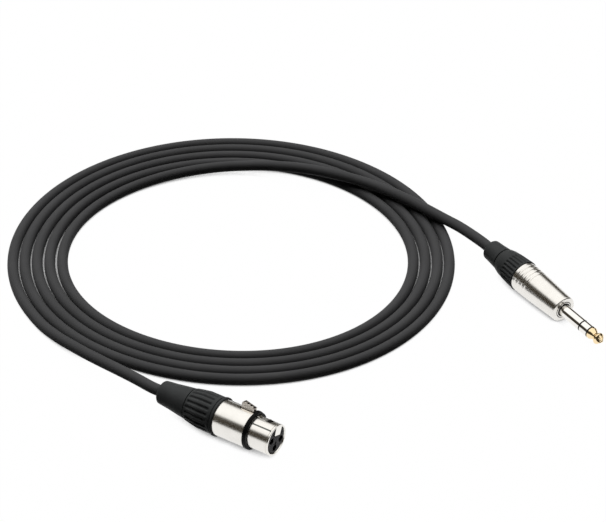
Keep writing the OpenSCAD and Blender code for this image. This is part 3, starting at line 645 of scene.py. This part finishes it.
pad = plate("latch_pad", [(pad_back, pad_low), (pad_front, pad_low), (pad_front, pad_top - pad_slope),
                          (pad_back + pad_chamfer, pad_top), (pad_back, pad_top - pad_chamfer)],
            pad_w, 0.2, place_xlr, shift=pad_shift)
for piece in (rear_arm, boss, pad):
    dress(piece, steel)
dress(arm, nickel)
# the tooth is near-black as painted shade in its slot
dress(tooth, painted_shade_steel)
# the ridges are near-black as painted shade between the pad's serrations
ridge_radii, ridge_w = (0.4, 0.4, 0.4, 0.55), 1.5
first_ridge, last_ridge = pad_back + 1.3, pad_front - 0.5
ridge_shift = pad_shift + (ridge_w - pad_w) / 2 + 0.05
ridges = []
for k, r in enumerate(ridge_radii):
    t = k / (len(ridge_radii) - 1)
    cx = first_ridge + (last_ridge - first_ridge) * t
    cz = pad_top - 0.12 - (pad_slope - 0.1) * t
    ridge = plate("ridge", [(cx + r * cosd(20 * j), cz + r * sind(20 * j)) for j in range(18)],
                  ridge_w, 0.14, place_xlr, shift=ridge_shift)
    dress(ridge, painted_shade_steel)
    ridges.append(ridge)
latch = merged("latch", [arm, rear_arm, boss, pad, tooth] + ridges)
finish_piece(crisp(latch), "latch", "latch_steel", "xlr_latch")

flutes, chuck_bore, collet_bore, cable_bore = 20, 6.6, 4.6, 3.05
rim, body, rim_groove = 10.0, 9.6, 0.4
bushing = turned("socket_bushing", [
    (x_joint + 1.8, chuck_bore), (x_joint + 1.8, 7.95, 0.2), (x_joint, 7.95), (x_joint, rim, 0.35),
    (x_joint - 1.3, rim, 0.25), (x_joint - 1.42, body - rim_groove, 0.08),
    (x_joint - 1.9, body - rim_groove, 0.08),
    (x_joint - 2.05, body, 0.12), (x_neck + 7.2, body, 2.0), (x_neck + 3.4, 9.0, 1.5), (x_neck, 8.35, 0.45),
    (x_neck, collet_bore), (x_joint - 12.5, collet_bore), (x_joint - 12.5, 4.8),
    (x_joint - 6.8, chuck_bore)],
    place_xlr, flutes * 14, fluting(flutes, x_neck + 0.7, x_joint - 3.4, 8.2, 0.98, 0.8),
    rows=(0.45, x_neck + 0.5, x_joint - 2.1))
finish_piece(bushing, "root", "boot_black", "xlr_bushing", mat=boot_black)

neck_line, neck_r, plug_neck_r = 0.5, 7.3, 5.8
boot = turned("socket_boot", [
    (x_rear, cable_bore, 0.2), (x_rear, 5.9, 1.2), (x_rear + 6.8, 6.6, 3), (x_rear + 12.8, 7.47, 3),
    (x_neck - neck_line, 8.05, 0.2), (x_neck - neck_line, neck_r), (x_neck, neck_r),
    (x_neck, collet_bore), (x_neck + 3.6, collet_bore), (x_neck + 3.6, cable_bore)],
    place_xlr, 128)
finish_piece(boot, "root", "boot_black", "xlr_boot", mat=boot_black)

# ---- Jack ----
web_back, jack_mouth, jack_bore, jack_fore = -6, 4.7, 6.95, 6.45
groove_start, groove_pitch, groove_w, groove_d, grooves = j_joint + 2.7, 2.55, 0.55, 0.32, 4
outline = [(web_back, jack_mouth), (0, jack_mouth, 0.15), (0, shell_front_r, 0.9)]
for k in reversed(range(grooves)):
    x = groove_start + k * groove_pitch
    r = shell_r - 0.03 * k
    outline += [(x + groove_w + 0.25, r, 0.2), (x + groove_w / 2, r - groove_d, 0.2),
                (x - groove_w / 2, r - groove_d, 0.2), (x - groove_w - 0.25, r, 0.2)]
outline += [(j_joint, shell_r, 0.2), (j_joint, jack_bore, 0.1), (j_joint + 12, jack_bore),
            (j_joint + 13, jack_fore), (web_back, jack_fore)]
jack_shell = turned("plug_shell", outline, place_jack, 160, rows=(1.0, j_joint + 12, -1.0))
finish_piece(jack_shell, "root", "nickel_shell", "jack_shell", mat=nickel)

sleeve_bore, sleeve_back, collar_in, collar_out, collar_front = 2.35, -13, 3.9, 4.3, 0.1
root_back, mouth_floor, seat_r, flange_r, flange_back, stack_r = -0.5, -2.5, 4.65, 6.4, -9, 4.4
sleeve = turned("plug_sleeve", [
    (s1, sleeve_bore), (s1, shaft_r, 0.08), (root_back, shaft_r), (root_back, collar_in),
    (collar_front, collar_in, 0.06), (collar_front, collar_out, 0.1), (mouth_floor, collar_out),
    (mouth_floor, seat_r), (web_back, seat_r), (web_back, flange_r), (flange_back, flange_r),
    (flange_back, stack_r), (sleeve_back, stack_r), (sleeve_back, sleeve_bore)], place_jack, 96)
dress(sleeve, bright)
# two near-black rings fill the gap at the shaft's root and the gap in the shell's mouth: painted shade for
# the shadowed gaps
root_painted_shade = turned("root_painted_shade", [(-0.48, shaft_r + 0.01), (0.05, shaft_r + 0.01), (0.05, 3.88),
                                 (-0.48, 3.88)], place_jack, 96)
mouth_painted_shade = turned("mouth_painted_shade", [(-2.4, 4.32), (-0.6, 4.32), (-0.6, 4.62), (-2.4, 4.62)],
                    place_jack, 96)
for piece in (root_painted_shade, mouth_painted_shade):
    dress(piece, dark_plastic_and_painted_shade)
sleeve = merged("plug_sleeve", [sleeve, root_painted_shade, mouth_painted_shade])
finish_piece(crisp(sleeve), "root", "contact_nickel", "jack_sleeve_contact")
band = turned("plug_ring_contact", [(s3, 1.35), (s3, shaft_r, 0.08), (s2, shaft_r, 0.08), (s2, 1.75),
                                    (-15.4, 1.75), (-15.4, 1.35)], place_jack, 96)
finish_piece(band, "root", "contact_nickel", "jack_ring_contact", mat=bright)
tip = turned("plug_tip", [
    (s5, 0.02), (s5 - 0.02, 0.35, 0.2), (s5 - 0.45, 0.78, 0.3), (s5 - 2.75, 3.08, 0.25),
    (s5 - 3.25, 3.15, 0.15), (s5 - 3.75, 3.02, 0.3), (s5 - 4.75, 2.28, 0.6), (s5 - 5.4, 2.1, 0.5),
    (s5 - 6.0, 2.22, 0.5), (s4 + 1.25, 3.0, 0.3), (s4 + 0.9, shaft_r, 0.1), (s4, shaft_r, 0.08),
    (s4, 0.95), (-17.2, 0.95), (-17.2, 0.02)], place_jack, 96, closed=False)
finish_piece(tip, "root", "contact_gold", "jack_tip_contact", mat=gold)

jack_flutes, jrim, jack_collet, jack_chuck = 24, 8.7, 4.2, 6.0
plug_bushing = turned("plug_bushing", [
    (j_joint + 3.4, jack_chuck), (j_joint + 3.4, 6.9, 0.2), (j_joint, 6.9), (j_joint, jrim, 0.3),
    (j_joint - 1.2, jrim - 0.06), (j_joint - 8.5, jrim - 0.6, 3), (j_joint - 13, jrim - 1.15, 2.5),
    (j_neck + 0.3, 6.75, 0.8), (j_neck, 6.3), (j_neck, jack_collet), (j_joint - 8.7, jack_collet),
    (j_joint - 8.7, 4.4), (j_joint - 3.6, jack_chuck)], place_jack, jack_flutes * 12,
    fluting(jack_flutes, j_joint - 9.4, j_joint - 0.5, 7.05, 0.8, 0.72),
    rows=(0.4, j_neck + 0.5, j_joint - 0.4))
finish_piece(plug_bushing, "root", "boot_black", "jack_bushing", mat=boot_black)
plug_boot = turned("plug_boot", [
    (j_rear, cable_bore, 0.2), (j_rear, 5.5, 1.1), (j_rear + 5.5, 5.9, 2),
    (j_neck - neck_line, 6.45, 0.2), (j_neck - neck_line, plug_neck_r), (j_neck, plug_neck_r),
    (j_neck, jack_collet), (j_neck + 2.4, jack_collet), (j_neck + 2.4, cable_bore)], place_jack, 112)
finish_piece(plug_boot, "root", "boot_black", "jack_boot", mat=boot_black)

# ---- CAD solids that stay ----
# the insert body is dressed in painted shade so the socket holes read black
look = {"cable_end_xlr": jacket, "cable_end_jack": jacket, "xlr_latch_pin": steel,
        "xlr_latch_spring": steel, "xlr_insert": insert_painted_shade, "xlr_socket_shield": brass_painted_shade,
        "xlr_socket_hot": brass_painted_shade, "xlr_socket_cold": brass_painted_shade, "xlr_core_shield": copper,
        "xlr_core_hot": red_core, "xlr_core_cold": white_core, "xlr_chuck": collet,
        "jack_insulator_outer": dark_plastic_and_painted_shade, "jack_insulator_inner": dark_plastic_and_painted_shade,
        "jack_washers": washer, "jack_tag_ground": tin, "jack_tag_ring": tin, "jack_tag_tip": tin,
        "jack_core_shield": copper, "jack_core_hot": red_core, "jack_core_cold": white_core,
        "jack_chuck": collet}
for name, mat in look.items():
    dress(nodes[name], mat)

# ---- Floor, sky and lamps ----
floor_half = 3.0
floor = new_object("floor", [(-floor_half, -floor_half, 0), (floor_half, -floor_half, 0),
                             (floor_half, floor_half, 0), (-floor_half, floor_half, 0)], [(0, 1, 2, 3)])
fb = Build("floor_paper")
fb.set(Roughness=0.9)
floor_tone, floor_glow, glow_share = 0.06, 1.105, 0.9
shade_reach, shade_dark, shade_clear = 0.0065, 0.05, 0.38
fb.bsdf.inputs["Base Color"].default_value = (floor_tone, floor_tone, floor_tone, 1)
glow = fb.node("ShaderNodeEmission")
# the floor's glow is dimmed by ambient occlusion beside and between the parts: painted contact shade
painted_shade_ao = fb.node("ShaderNodeAmbientOcclusion", samples=8)
painted_shade_ao.inputs["Distance"].default_value = shade_reach
fb.link(fb.remap(painted_shade_ao.outputs["AO"], shade_dark, shade_clear, 0.0, floor_glow), glow.inputs["Strength"])
path = fb.node("ShaderNodeLightPath")
mix = fb.node("ShaderNodeMixShader")
amount = fb.node("ShaderNodeMath", operation="MULTIPLY")
amount.inputs[1].default_value = glow_share
seen = fb.node("ShaderNodeMath", operation="MAXIMUM")
fb.link(path.outputs["Is Camera Ray"], seen.inputs[0])
fb.link(path.outputs["Is Glossy Ray"], seen.inputs[1])
fb.link(seen.outputs[0], amount.inputs[0])
fb.link(amount.outputs[0], mix.inputs[0])
fb.link(fb.bsdf.outputs[0], mix.inputs[1])
fb.link(glow.outputs[0], mix.inputs[2])
out = next(n for n in fb.tree.nodes if n.type == "OUTPUT_MATERIAL")
fb.link(mix.outputs[0], out.inputs["Surface"])
dress(floor, fb.mat)

world = bpy.data.worlds.new("studio")
bpy.context.scene.world = world
world.use_nodes = True
wt = world.node_tree
back = next(n for n in wt.nodes if n.type == "BACKGROUND")


def world_node(kind, **props):
    n = wt.nodes.new(kind)
    for key, value in props.items():
        setattr(n, key, value)
    return n


def world_ramp(source, low, high, to_low, to_high):
    n = world_node("ShaderNodeMapRange", interpolation_type="SMOOTHSTEP")
    for key, v in zip(("From Min", "From Max", "To Min", "To Max"), (low, high, to_low, to_high)):
        n.inputs[key].default_value = v
    wt.links.new(source, n.inputs["Value"])
    return n.outputs["Result"]


def world_mix(fac, low, high):
    n = world_node("ShaderNodeMix", data_type="RGBA")
    wt.links.new(fac, n.inputs[0])
    for slot, v in ((6, low), (7, high)):
        if isinstance(v, tuple):
            n.inputs[slot].default_value = v
        else:
            wt.links.new(v, n.inputs[slot])
    return n.outputs[2]


# the horizon's dark edge reaches higher in front and behind than at the sides
edge_low, edge_high, edge_fall, edge_lift = 0.49, 0.64, -0.19, 0.054
horizon_dark, sky_bright, white = (0.05, 0.043, 0.032, 1), (1.15, 1.14, 1.12, 1), (1, 1, 1, 1)
top_start, top_full, top_level = 0.80, 1.2, 2.3
split = world_node("ShaderNodeSeparateXYZ")
wt.links.new(world_node("ShaderNodeTexCoord").outputs["Generated"], split.inputs[0])
side = world_node("ShaderNodeMath", operation="SUBTRACT")
side.inputs[1].default_value = 0.5
wt.links.new(split.outputs[1], side.inputs[0])
reach = world_node("ShaderNodeMath", operation="ABSOLUTE")
wt.links.new(side.outputs[0], reach.inputs[0])
drop = world_node("ShaderNodeMath", operation="MULTIPLY_ADD")
drop.inputs[1].default_value = edge_fall
drop.inputs[2].default_value = edge_lift
wt.links.new(reach.outputs[0], drop.inputs[0])
height = world_node("ShaderNodeMath", operation="ADD")
wt.links.new(drop.outputs[0], height.inputs[0])
wt.links.new(split.outputs[2], height.inputs[1])
mirror = world_mix(world_ramp(height.outputs[0], edge_low, edge_high, 0, 1), horizon_dark, sky_bright)
from_back = world_node("ShaderNodeMath", operation="MULTIPLY_ADD")
from_back.inputs[1].default_value = 0.5
wt.links.new(split.outputs[1], from_back.inputs[0])
wt.links.new(split.outputs[2], from_back.inputs[2])
soft_top = world_ramp(from_back.outputs[0], top_start, top_full, 0.0, top_level)
rays = world_node("ShaderNodeLightPath")
by_ray = world_mix(rays.outputs["Is Glossy Ray"], soft_top, mirror)
wt.links.new(world_mix(rays.outputs["Is Camera Ray"], by_ray, white), back.inputs["Color"])
back.inputs["Strength"].default_value = 1.0


def softbox(name, spot, at, size, watts):
    lamp = bpy.data.lights.new(name, "AREA")
    lamp.shape = "RECTANGLE"
    lamp.size, lamp.size_y = size
    lamp.energy = watts
    obj = bpy.data.objects.new(name, lamp)
    obj.location = spot
    obj.rotation_euler = (Vector(at) - Vector(spot)).to_track_quat("-Z", "Y").to_euler()
    obj.visible_glossy = False
    bpy.context.scene.collection.objects.link(obj)
    return obj


softbox("key", (-0.9, 0.9, 1.5), aim, (1.2, 0.8), 8)
bpy.context.scene.view_settings.view_transform = "Standard"
